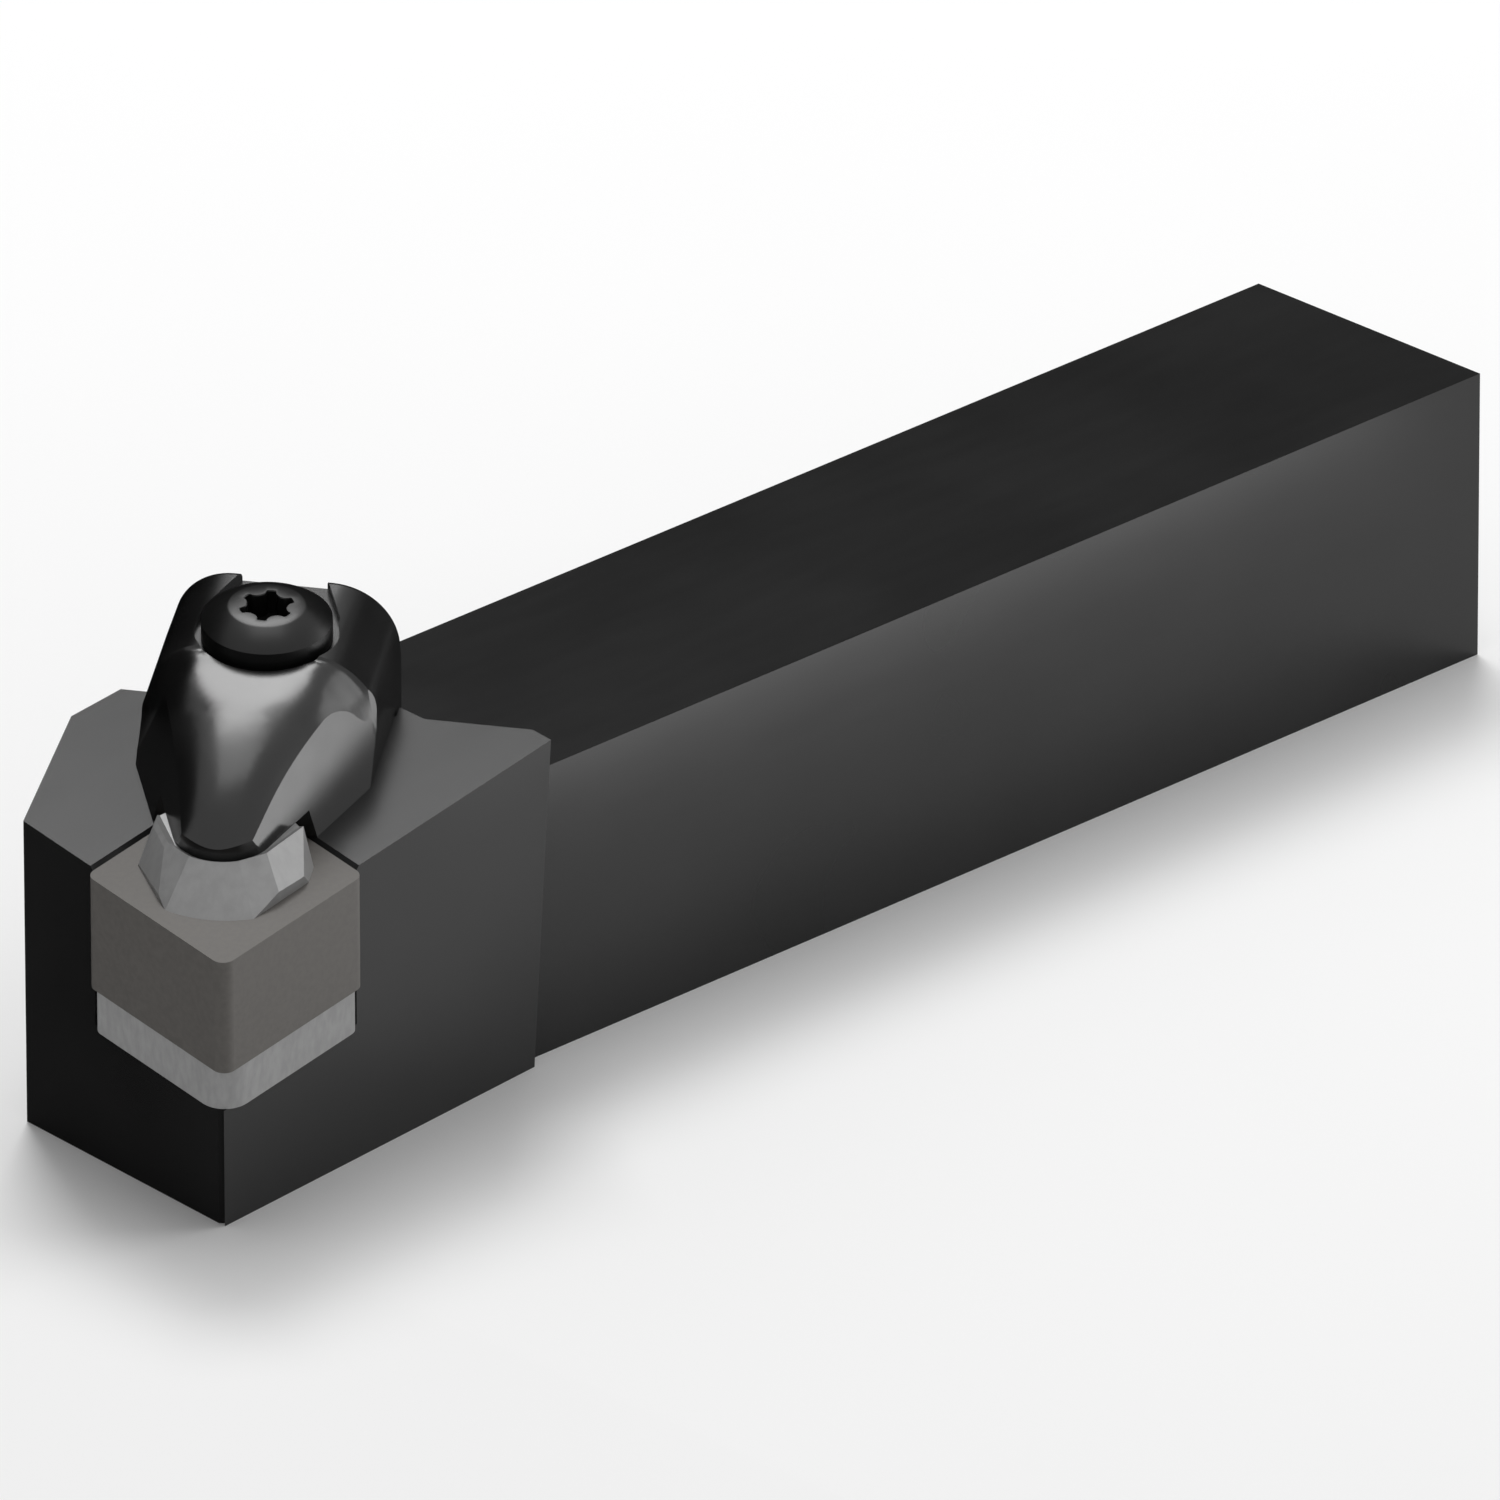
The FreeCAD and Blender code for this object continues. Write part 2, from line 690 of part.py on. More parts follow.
def pad_rim(shrink, level):
    """Return the outline of the pad's raised rim, moved inwards by shrink."""
    radius = pad_front_radius - shrink
    centre = pad_front + pad_front_radius
    turn = math.radians(pad_front_half_angle)
    start = V(centre - radius * math.cos(turn), radius * math.sin(turn), level)
    top = V(centre - radius, 0, level)
    cheek = math.radians(pad_cheek_slope)
    rim_start = V(
        centre - pad_front_radius * math.cos(turn),
        pad_front_radius * math.sin(turn),
        level,
    )
    first = V(pad_cheek_turn, pad_cheek_half, level) - rim_start
    first.normalize()
    second = V(math.cos(cheek), math.sin(cheek), 0)
    inward = V(math.sin(cheek), -math.cos(cheek), 0)
    corner = plan_cross(start, first, V(pad_cheek_turn, pad_cheek_half, level) + inward * shrink, second)
    rear = step_front + 2
    end = corner + second * ((rear - corner.x) / second.x)
    return start, top, corner, end


def pad_wire(shrink, level):
    """Return the pad's closed rim wire at one level."""
    start, top, corner, end = pad_rim(shrink, level)

    def mirrored(point):
        return V(point.x, -point.y, point.z)

    return Part.Wire([
        Part.Arc(mirrored(start), top, start).toShape(),
        Part.makeLine(start, corner),
        Part.makeLine(corner, end),
        Part.makeLine(end, mirrored(end)),
        Part.makeLine(mirrored(end), mirrored(corner)),
        Part.makeLine(mirrored(corner), mirrored(start)),
    ])


def make_pressure_pad():
    """Build the hard pad: a ramped front, upright flanks and a recess for the nose."""
    base = pad_wire(-pad_ramp, 0)
    base.translate(V(0, pad_foot_shift, 0))
    ramp = Part.makeLoft([base, pad_wire(0, pad_rise)], True, True)
    tail = math.tan(math.radians(pad_tail_slope))
    rear = step_front - pad_rear_gap
    tail_half = pad_half_width - (rear - pad_flank_end) * tail
    ahead = pad_front - pad_ramp - 1
    narrowing = math.tan(math.radians(pad_flank_angle))
    outline = [
        (ahead, pad_flank_half - (pad_flank_front - ahead) * narrowing),
        (pad_flank_front, pad_flank_half),
        (pad_flank_wide, pad_half_width),
        (pad_flank_end, pad_half_width),
        (rear, tail_half),
    ]
    outline = outline + [(x, -y) for x, y in reversed(outline)]
    pad = ramp.common(prism([(x, y + pad_foot_shift) for x, y in outline], 0, pad_rise))
    draft = math.radians(pad_side_draft)
    cheek = math.radians(pad_cheek_slope)
    for side, slope_down, land in ((-1, pad_near_slope, 0), (1, pad_far_slope, pad_far_land)):
        pad = pad.cut(slab(V(0, side * pad_half_width + pad_foot_shift, 0),
                           V(0, side * math.cos(draft), math.sin(draft))))
        down = math.radians(slope_down)
        outward = V(
            -math.sin(cheek) * math.sin(down),
            side * math.cos(cheek) * math.sin(down),
            math.cos(down),
        )
        pad = pad.cut(slab(V(pad_cheek_turn, side * (pad_cheek_half + land), pad_rise), outward))
    recess = Part.makeLoft([pad_wire(pad_recess_bevel, pad_seat), pad_wire(0, pad_rise)], True, True)
    pad = pad.cut(recess)
    pad = pad.cut(rod(pin_radius + pin_gap, pad_seat - pin_in_pad, pad_rise, pin_at))
    pad = placed(pad, clamp_frame)
    limit = placed(prism(rhombus(pad_edge_margin), -1, pad_rise + 1), seat_frame)
    return pad.common(limit).removeSplitter()


def make_pad_pin():
    """Build the small pin that keeps the pad on the nose."""
    pin = rod(pin_radius, pad_seat - pin_in_pad + pin_gap, pad_seat + pin_in_clamp - pin_gap, pin_at)
    return placed(pin, clamp_frame)


nodes = {
    "holder_body": make_holder_body,
    "shim": make_shim,
    "shim_screw": make_shim_screw,
    "insert": make_insert,
    "pressure_pad": make_pressure_pad,
    "pad_pin": make_pad_pin,
    "clamp": make_clamp,
    "clamp_screw": make_clamp_screw,
    "clamp_spring": make_clamp_spring,
}

os.makedirs("parts", exist_ok=True)
for node, make in nodes.items():
    shape = make()
    shape.exportStep("parts/" + node + ".step")
    print(node, shape.isValid(), len(shape.Solids), round(shape.Volume, 2), shape.BoundBox)
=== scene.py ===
"""Finishes and small turned parts for a turning tool holder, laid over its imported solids."""

import json

import bpy
import numpy as np
from bpy.props import FloatProperty, FloatVectorProperty, IntProperty, PointerProperty
from bpy.types import Operator, Panel, PropertyGroup
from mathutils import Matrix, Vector

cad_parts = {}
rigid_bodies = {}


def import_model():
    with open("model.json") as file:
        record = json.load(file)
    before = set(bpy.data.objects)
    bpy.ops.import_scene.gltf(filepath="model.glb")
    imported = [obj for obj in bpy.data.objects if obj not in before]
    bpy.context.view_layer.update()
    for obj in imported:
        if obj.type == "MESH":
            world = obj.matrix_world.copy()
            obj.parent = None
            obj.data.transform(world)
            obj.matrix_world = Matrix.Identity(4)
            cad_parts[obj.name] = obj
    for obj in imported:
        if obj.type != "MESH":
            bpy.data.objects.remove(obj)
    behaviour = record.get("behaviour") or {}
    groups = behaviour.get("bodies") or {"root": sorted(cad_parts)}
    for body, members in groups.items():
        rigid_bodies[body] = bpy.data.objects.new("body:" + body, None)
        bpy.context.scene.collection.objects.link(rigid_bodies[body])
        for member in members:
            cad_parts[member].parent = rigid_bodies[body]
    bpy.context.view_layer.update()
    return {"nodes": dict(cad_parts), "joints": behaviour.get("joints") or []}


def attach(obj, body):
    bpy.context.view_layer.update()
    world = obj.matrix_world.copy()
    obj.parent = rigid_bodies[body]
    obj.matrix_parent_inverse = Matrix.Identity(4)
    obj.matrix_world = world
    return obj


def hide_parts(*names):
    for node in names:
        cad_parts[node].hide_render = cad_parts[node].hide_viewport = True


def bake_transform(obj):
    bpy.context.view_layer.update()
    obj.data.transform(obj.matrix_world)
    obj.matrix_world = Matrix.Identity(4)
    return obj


bl_info = {
    "name": "Turning tool holder",
    "version": (1, 0, 0),
    "blender": (4, 5, 0),
    "location": "View3D > Sidebar > Tool holder",
    "description": "Finishes a clamped turning tool holder and turns its screw and spring",
    "category": "Object",
}

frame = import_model()
SCREW_JOINT = next(j for j in frame["joints"] if j["name"] == "screw_turn")
SCREW_SEAT = np.array(SCREW_JOINT["pos_m"])
SCREW_UP = np.array(SCREW_JOINT["axis"]) / np.linalg.norm(SCREW_JOINT["axis"])
# The way from the clamp's nose to its heel, by which the screw's socket is turned.
CLAMP_LENGTHWAYS = np.array((0.8134, 0.5637, 0.1447))


class SteelSettings(PropertyGroup):
    """Colours and roughness of the blackened steel pieces."""

    body_colour: FloatVectorProperty(
        name="Body colour", description="Colour of the blackened holder body",
        default=(0.016, 0.016, 0.016), size=3, subtype="COLOR", min=0, max=1)
    body_roughness: FloatProperty(
        name="Body roughness", description="Mean roughness of the blackened body",
        default=0.25, min=0, max=1, subtype="FACTOR")
    clamp_colour: FloatVectorProperty(
        name="Clamp colour", description="Colour of the clamp and the screws",
        default=(0.005, 0.005, 0.005), size=3, subtype="COLOR", min=0, max=1)
    clamp_roughness: FloatProperty(
        name="Clamp roughness", description="Mean roughness of the clamp",
        default=0.25, min=0, max=1, subtype="FACTOR")
    screw_roughness: FloatProperty(
        name="Screw roughness", description="Mean roughness of the clamp screw",
        default=0.3, min=0, max=1, subtype="FACTOR")


class HardMetalSettings(PropertyGroup):
    """Colours of the sintered pieces."""

    insert_colour: FloatVectorProperty(
        name="Insert colour", description="Warm grey of the cutting insert",
        default=(0.12, 0.113, 0.105), size=3, subtype="COLOR", min=0, max=1)
    plate_colour: FloatVectorProperty(
        name="Plate colour", description="Light grey of the shim",
        default=(0.33, 0.33, 0.33), size=3, subtype="COLOR", min=0, max=1)
    pad_colour: FloatVectorProperty(
        name="Pad colour", description="Light grey of the pressure pad",
        default=(0.285, 0.285, 0.285), size=3, subtype="COLOR", min=0, max=1)


class ScrewSettings(PropertyGroup):
    """Sizes of the clamp screw, measured from the seat under its head."""

    head_radius: FloatProperty(
        name="Head radius", description="Radius of the head's upright band",
        default=0.00397, unit="LENGTH")
    band_height: FloatProperty(
        name="Band height", description="Height of the head's upright band",
        default=0.00134, unit="LENGTH")
    head_height: FloatProperty(
        name="Head height", description="Height of the flat top above the seat",
        default=0.00228, unit="LENGTH")
    flat_radius: FloatProperty(
        name="Flat radius", description="Radius of the flat top inside the dome",
        default=0.00229, unit="LENGTH")
    lobe_radius: FloatProperty(
        name="Lobe radius", description="Outer radius of the six-lobe socket",
        default=0.00163, unit="LENGTH")
    scallop_radius: FloatProperty(
        name="Scallop radius", description="Radius of the six ribs in the socket",
        default=0.00062, unit="LENGTH")
    socket_depth: FloatProperty(
        name="Socket depth", description="Depth of the six-lobe socket",
        default=0.0016, unit="LENGTH")
    thread_radius: FloatProperty(
        name="Thread radius", description="Outer radius of the thread",
        default=0.0025, unit="LENGTH")
    thread_pitch: FloatProperty(
        name="Thread pitch", description="Rise of the thread in one turn",
        default=0.0008, unit="LENGTH")
    length: FloatProperty(
        name="Length", description="Length below the head",
        default=0.019, unit="LENGTH")
    plain_length: FloatProperty(
        name="Plain length", description="Length under the head that has no thread",
        default=0.0075, unit="LENGTH")
    segments: IntProperty(
        name="Segments", description="Divisions round the screw",
        default=144, min=24)


class CoilSettings(PropertyGroup):
    """Sizes of the lifting spring, measured from the screw's seat."""

    wire_radius: FloatProperty(
        name="Wire radius", description="Half the thickness of the wire",
        default=0.0004, unit="LENGTH")
    mean_radius: FloatProperty(
        name="Mean radius", description="Radius of the coil's centre line",
        default=0.0032, unit="LENGTH")
    low_end: FloatProperty(
        name="Low end", description="Depth of the coil's lower end below the seat",
        default=0.01188, unit="LENGTH")
    high_end: FloatProperty(
        name="High end", description="Depth of the coil's upper end below the seat",
        default=0.00692, unit="LENGTH")
    turns: FloatProperty(
        name="Turns", description="Number of turns, closed ends included",
        default=5.0, min=1)


class StageSettings(PropertyGroup):
    """The camera, the lamps and the floor."""

    camera_place: FloatVectorProperty(
        name="Camera place", description="Where the camera stands",
        default=(-1.5232, -1.50726, 1.00213), size=3, unit="LENGTH")
    camera_aim: FloatVectorProperty(
        name="Camera aim", description="Direction that the camera looks in",
        default=(0.64086, 0.64086, -0.42262), size=3, subtype="DIRECTION")
    camera_lens: FloatProperty(
        name="Lens", description="Focal length on a 36 mm sensor, in millimetres",
        default=926.2, unit="CAMERA")
    floor_colour: FloatVectorProperty(
        name="Floor colour", description="Colour of the plain floor",
        default=(0.93, 0.93, 0.93), size=3, subtype="COLOR", min=0, max=1)
    fill_strength: FloatProperty(
        name="Fill strength", description="Strength of the light from all round",
        default=0.36, min=0)


class HolderSettings(PropertyGroup):
    """All settings of the tool holder."""

    steel: PointerProperty(type=SteelSettings)
    hard_metal: PointerProperty(type=HardMetalSettings)
    screw: PointerProperty(type=ScrewSettings)
    coil: PointerProperty(type=CoilSettings)
    stage: PointerProperty(type=StageSettings)


def clamp_axes():
    """Directions along the clamp, across it and up its screw, as the columns of a matrix."""
    along = CLAMP_LENGTHWAYS - SCREW_UP * (CLAMP_LENGTHWAYS @ SCREW_UP)
    along = along / np.linalg.norm(along)
    return np.stack((along, np.cross(SCREW_UP, along), SCREW_UP), axis=1)


def rings_to_piece(name, rings, first_pole, last_pole, material):
    """Make a closed piece from rings of points.

    rings has the shape (ring, point, xyz); each ring is joined to the next one by quads,
    and the first and last rings are closed to one pole point each.
    """
    count, around = rings.shape[:2]
    points = np.concatenate((rings.reshape(-1, 3), first_pole[None], last_pole[None]))
    ring, step = np.meshgrid(np.arange(count - 1), np.arange(around), indexing="ij")
    following = (step + 1) % around
    quads = np.stack((ring * around + step, ring * around + following,
                      (ring + 1) * around + following, (ring + 1) * around + step), axis=-1)
    edge = np.arange(around)
    turned = (edge + 1) % around
    start = np.stack((np.full(around, count * around), turned, edge), axis=-1)
    last = (count - 1) * around
    end = np.stack((np.full(around, count * around + 1), last + edge, last + turned), axis=-1)
    mesh = bpy.data.meshes.new(name)
    faces = quads.reshape(-1, 4).tolist() + start.tolist() + end.tolist()
    mesh.from_pydata(points.tolist(), [], faces)
    mesh.polygons.foreach_set("use_smooth", np.ones(len(mesh.polygons), bool))
    mesh.materials.append(material)
    piece = bpy.data.objects.new(name, mesh)
    bpy.context.scene.collection.objects.link(piece)
    return piece


def soften_edges(piece, degrees):
    """Shade a piece smoothly, apart from edges that are sharper than an angle."""
    piece.data.set_sharp_from_angle(angle=np.radians(degrees))


class Finish:
    """One material under construction: a shader with helpers for its pattern nodes."""

    def __init__(self, name, roughness, specular=0.5, metallic=0.0):
        self.mean_roughness = roughness
        self.material = bpy.data.materials.new(name)
        self.material.use_nodes = True
        self.nodes = self.material.node_tree.nodes
        self.links = self.material.node_tree.links
        self.shader = self.nodes["Principled BSDF"]
        self.shader.inputs["Roughness"].default_value = roughness
        self.shader.inputs["Specular IOR Level"].default_value = specular
        self.shader.inputs["Metallic"].default_value = metallic
        self.place = self.nodes.new("ShaderNodeTexCoord").outputs["Object"]

    def noise(self, scale, detail, stretch=(1, 1, 1)):
        """Return the value of a noise pattern, stretched along the axes."""
        mapping = self.nodes.new("ShaderNodeMapping")
        mapping.inputs["Scale"].default_value = stretch
        self.links.new(self.place, mapping.inputs["Vector"])
        noise = self.nodes.new("ShaderNodeTexNoise")
        noise.inputs["Scale"].default_value = scale
        noise.inputs["Detail"].default_value = detail
        self.links.new(mapping.outputs["Vector"], noise.inputs["Vector"])
        return noise.outputs["Fac"]

    def colour(self, pattern, dark, light, low=0.35, high=0.65):
        """Colour the surface between two colours by a pattern."""
        ramp = self.nodes.new("ShaderNodeValToRGB")
        ramp.color_ramp.elements[0].position = low
        ramp.color_ramp.elements[0].color = (*dark, 1)
        ramp.color_ramp.elements[1].position = high
        ramp.color_ramp.elements[1].color = (*light, 1)
        self.links.new(pattern, ramp.inputs["Fac"])
        self.links.new(ramp.outputs["Color"], self.shader.inputs["Base Color"])

    def uneven_gloss(self, pattern, spread):
        """Let a pattern move the roughness to both sides of its mean."""
        span = self.nodes.new("ShaderNodeMapRange")
        span.inputs["To Min"].default_value = self.mean_roughness - spread
        span.inputs["To Max"].default_value = self.mean_roughness + spread
        self.links.new(pattern, span.inputs["Value"])
        self.links.new(span.outputs["Result"], self.shader.inputs["Roughness"])

    def relief(self, pattern, strength, depth):
        """Raise the surface by a pattern, to a depth in metres."""
        bump = self.nodes.new("ShaderNodeBump")
        bump.inputs["Strength"].default_value = strength
        bump.inputs["Distance"].default_value = depth
        self.links.new(pattern, bump.inputs["Height"])
        self.links.new(bump.outputs["Normal"], self.shader.inputs["Normal"])


def scaled(colour, share):
    """A colour made lighter or darker by a share."""
    return tuple(min(1.0, channel * share) for channel in colour)


def blackened_body_finish(steel):
    """Satin black oxide: slight cloudiness, a fine ground grain along the shank."""
    finish = Finish("blackened_body", steel.body_roughness, specular=0.3)
    cloud = finish.noise(scale=60, detail=2)
    grain = finish.noise(scale=900, detail=4, stretch=(0.15, 1, 1))
    finish.colour(cloud, scaled(steel.body_colour, 0.85), scaled(steel.body_colour, 1.15))
    finish.uneven_gloss(grain, spread=0.03)
    finish.relief(grain, strength=0.03, depth=0.00002)
    return finish.material


def polished_black_finish(steel):
    """Glossy blackened steel with a faint unevenness."""
    finish = Finish("polished_black", steel.clamp_roughness, specular=0.45)
    cloud = finish.noise(scale=250, detail=3)
    finish.colour(cloud, scaled(steel.clamp_colour, 0.8), scaled(steel.clamp_colour, 1.25))
    finish.uneven_gloss(finish.noise(scale=400, detail=2), spread=0.03)
    finish.relief(finish.noise(scale=300, detail=1), strength=0.02, depth=0.00001)
    return finish.material


def oiled_screw_finish(steel):
    """Black screw steel, a little duller than the clamp."""
    finish = Finish("oiled_screw", steel.screw_roughness, specular=0.28)
    cloud = finish.noise(scale=300, detail=3)
    finish.colour(cloud, scaled(steel.clamp_colour, 0.85), scaled(steel.clamp_colour, 1.2))
    finish.uneven_gloss(finish.noise(scale=1500, detail=4), spread=0.04)
    finish.relief(finish.noise(scale=900, detail=2), strength=0.06, depth=0.00002)
    return finish.material


def ground_plate_finish(hard_metal):
    """Light grey sintered metal, ground matt, for the shim."""
    finish = Finish("ground_plate", 0.5, specular=0.12)
    grain = finish.noise(scale=2200, detail=4, stretch=(1, 1, 0.4))
    finish.colour(grain, scaled(hard_metal.plate_colour, 0.93), scaled(hard_metal.plate_colour, 1.07))
    finish.uneven_gloss(grain, spread=0.08)
    finish.relief(grain, strength=0.15, depth=0.00001)
    return finish.material


def lapped_pad_finish(hard_metal):
    """Light grey sintered metal, lapped a little smoother than the shim, for the pressure pad."""
    finish = Finish("lapped_pad", 0.35, specular=0.3, metallic=0.25)
    grain = finish.noise(scale=1500, detail=3, stretch=(1, 1, 0.4))
    finish.colour(grain, scaled(hard_metal.pad_colour, 0.95), scaled(hard_metal.pad_colour, 1.05))
    finish.uneven_gloss(grain, spread=0.05)
    finish.relief(grain, strength=0.05, depth=0.00001)
    return finish.material


def insert_finish(hard_metal):
    """Warm grey sintered insert with a fine even grain."""
    finish = Finish("sintered_insert", 0.58, specular=0.34)
    grain = finish.noise(scale=2600, detail=5)
    finish.colour(grain, scaled(hard_metal.insert_colour, 0.94), scaled(hard_metal.insert_colour, 1.06))
    finish.uneven_gloss(grain, spread=0.06)
    finish.relief(grain, strength=0.12, depth=0.00001)
    return finish.material


def spring_wire_finish():
    """Bright drawn wire with faint streaks."""
    finish = Finish("drawn_wire", 0.31, metallic=1.0)
    streak = finish.noise(scale=900, detail=3, stretch=(1, 1, 0.3))
    finish.colour(streak, (0.3, 0.3, 0.31), (0.42, 0.42, 0.43))
    finish.uneven_gloss(streak, spread=0.07)
    return finish.material


def dress_node(node, material):
    """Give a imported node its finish."""
    solid = frame["nodes"][node]
    for slot in solid.material_slots:
        slot.material = material


def socket_radius(angle, lobe, scallop):
    """Radius of the six-lobe socket at an angle.

    It is the lobe radius, or less where one of six round ribs, whose centres lie just
    outside it and half-way between the lobes, stands in.
    """
    rib_outset = 0.27
    centre = lobe + rib_outset * scallop
    turn = (angle - np.pi / 6) % (np.pi / 3)
    turn = np.minimum(turn, np.pi / 3 - turn)
    inside = scallop ** 2 - (centre * np.sin(turn)) ** 2
    rib = centre * np.cos(turn) - np.sqrt(np.maximum(inside, 0))
    return np.where(inside > 0, np.minimum(lobe, rib), lobe)


def thread_depth(angle, height, pitch):
    """Share of the thread's depth at an angle and a height.

    It is a triangle wave along the helix, cut off flat at the bottom of the groove.
    """
    steepness = 2.7
    phase = (height / pitch - angle / (2 * np.pi)) % 1.0
    return np.clip(steepness * (0.5 - np.abs(phase - 0.5)), 0, 1)


def screw_rings(screw):
    """Rings of the clamp screw from its point up round the head and down into the socket.

    Below the head each ring's radius is the thread radius less the helix's depth. The head
    is an upright band, a circular dome and a flat. The socket's rings follow its six lobes
    and end in a shallow cone. The two poles close the point and the cone.
    """
    rings_in_pitch = 10
    thread_share = 0.6
    point_bevel = 0.0004
    edge_round = 0.00008
    dome_rings = 14
    socket_lip = 0.00006
    cone_width = 0.5
    cone_rim = 1.02
    cone_tip = 1.05
    angle = np.linspace(0, 2 * np.pi, screw.segments, endpoint=False)
    ones = np.ones_like(angle)
    heights = np.arange(-screw.length, -screw.plain_length, screw.thread_pitch / rings_in_pitch)
    fade = np.clip((heights + screw.length) / screw.thread_pitch, 0, 1)
    runout = np.clip((-screw.plain_length - heights) / screw.thread_pitch, 0, 1)
    groove = thread_depth(angle[None], heights[:, None], screw.thread_pitch)
    cut = thread_share * screw.thread_pitch * groove
    stem = screw.thread_radius - cut * runout[:, None] - point_bevel * (1 - fade[:, None])
    rise = screw.head_height - screw.band_height
    depth = (screw.head_radius ** 2 - screw.flat_radius ** 2 - rise ** 2) / (2 * rise)
    dome = np.hypot(screw.head_radius, depth)
    arc = np.linspace(np.arctan2(screw.head_radius, depth),
                      np.arctan2(screw.flat_radius, depth + rise), dome_rings)
    profile = [(screw.thread_radius, -screw.plain_length), (screw.thread_radius, 0),
               (screw.head_radius - edge_round, 0), (screw.head_radius, edge_round),
               (screw.head_radius, screw.band_height)]
    profile += list(zip(dome * np.sin(arc[1:]), dome * np.cos(arc[1:]) + screw.band_height - depth))
    radii = [ones * radius for radius, _ in profile]
    levels = [level for _, level in profile]
    socket = socket_radius(angle, screw.lobe_radius, screw.scallop_radius)
    radii += [socket + socket_lip, socket, socket, socket * cone_width]
    levels += [screw.head_height, screw.head_height - socket_lip,
               screw.head_height - screw.socket_depth,
               screw.head_height - screw.socket_depth * cone_rim]
    radii = np.concatenate((stem, np.array(radii)))
    levels = np.concatenate((heights, np.array(levels)))
    rings = np.stack((radii * np.cos(angle), radii * np.sin(angle), levels[:, None] * ones), axis=-1)
    point = np.array((0, 0, -screw.length))
    bottom = np.array((0, 0, screw.head_height - screw.socket_depth * cone_tip))
    return rings, point, bottom


def placed_on_screw(points):
    """Carry points from the screw's own axes into the row frame."""
    return points @ clamp_axes().T + SCREW_SEAT


def coil_rings(coil):
    """Rings of the spring wire along its helix, and the helix itself.

    The centre line turns evenly. It rises slowly over the end turns, which lie nearly
    closed, and evenly between them. Each ring is a circle square to the centre line.
    """
    steps_in_turn = 48
    wire_sides = 20
    closed_turns = 0.7
    end_rise = 0.6
    share = np.linspace(0, 1, int(coil.turns * steps_in_turn) + 1)
    closed = closed_turns / coil.turns
    wire = 2 * coil.wire_radius
    low = -coil.low_end + coil.wire_radius
    span = coil.low_end - coil.high_end - wire
    inner = np.clip((share - closed) / (1 - 2 * closed), 0, 1)
    ends = np.clip(share / closed, 0, 1) + np.clip((share - 1) / closed + 1, 0, 1)
    level = low + (span - 2 * end_rise * wire) * inner + end_rise * wire * ends
    turn = 2 * np.pi * coil.turns * share
    centre = np.stack((coil.mean_radius * np.cos(turn), coil.mean_radius * np.sin(turn), level), axis=-1)
    outward = np.stack((np.cos(turn), np.sin(turn), 0 * turn), axis=-1)
    forward = np.gradient(centre, axis=0)
    forward = forward / np.linalg.norm(forward, axis=1, keepdims=True)
    upward = np.cross(outward, forward)
    around = np.linspace(0, 2 * np.pi, wire_sides, endpoint=False)[None, :, None]
    circle = outward[:, None] * np.cos(around) + upward[:, None] * np.sin(around)
    return centre[:, None] + coil.wire_radius * circle, centre


class HOLDER_OT_body(Operator):
    """Finish the holder body"""

    bl_idname = "turning_holder.body"
    bl_label = "Holder body"

    def execute(self, context):
        steel = context.scene.turning_holder.steel
        dress_node("holder_body", blackened_body_finish(steel))
        return {"FINISHED"}


class HOLDER_OT_hard_pieces(Operator):
    """Finish the insert, the shim and the pressure pad"""

    bl_idname = "turning_holder.hard_pieces"
    bl_label = "Insert, shim and pad"

    def execute(self, context):
        hard_metal = context.scene.turning_holder.hard_metal
        dress_node("insert", insert_finish(hard_metal))
        dress_node("shim", ground_plate_finish(hard_metal))
        dress_node("pressure_pad", lapped_pad_finish(hard_metal))
        return {"FINISHED"}


class HOLDER_OT_clamp(Operator):
    """Finish the clamp, its pin and the shim screw"""

    bl_idname = "turning_holder.clamp"
    bl_label = "Clamp"

    def execute(self, context):
        steel = context.scene.turning_holder.steel
        black = polished_black_finish(steel)
        for node in ("clamp", "pad_pin", "shim_screw"):
            dress_node(node, black)
        return {"FINISHED"}


class HOLDER_OT_screw(Operator):
    """Turn the clamp screw with its thread and socket"""

    bl_idname = "turning_holder.screw"
    bl_label = "Clamp screw"

    def execute(self, context):
        settings = context.scene.turning_holder
        rings, point, bottom = screw_rings(settings.screw)
        piece = rings_to_piece("clamp_screw_turned", placed_on_screw(rings), placed_on_screw(point),
                               placed_on_screw(bottom), oiled_screw_finish(settings.steel))
        soften_edges(piece, degrees=35)
        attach(piece, "screw")
        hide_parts("clamp_screw")
        return {"FINISHED"}


class HOLDER_OT_coil(Operator):
    """Wind the lifting spring"""

    bl_idname = "turning_holder.coil"
    bl_label = "Lifting spring"

    def execute(self, context):
        coil = context.scene.turning_holder.coil
        rings, centre = coil_rings(coil)
        piece = rings_to_piece("lifting_coil", placed_on_screw(rings), placed_on_screw(centre[0]),
                               placed_on_screw(centre[-1]), spring_wire_finish())
        soften_edges(piece, degrees=60)
        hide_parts("clamp_spring")
        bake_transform(piece)
        return {"FINISHED"}


def soft_box(name, direction, size, power, distance=0.9, aim=(-0.055, 0, 0.02)):
    """Add a rectangular lamp that stands in a direction from a point and faces it."""
    lamp = bpy.data.lights.new(name, "AREA")
    lamp.shape = "RECTANGLE"
    lamp.size, lamp.size_y = size
    lamp.energy = power
    stand = bpy.data.objects.new(name, lamp)
    heading = Vector(direction).normalized()
    stand.location = Vector(aim) + heading * distance
    stand.rotation_euler = heading.to_track_quat("Z", "Y").to_euler()
    stand.visible_camera = False
    bpy.context.scene.collection.objects.link(stand)
    return stand


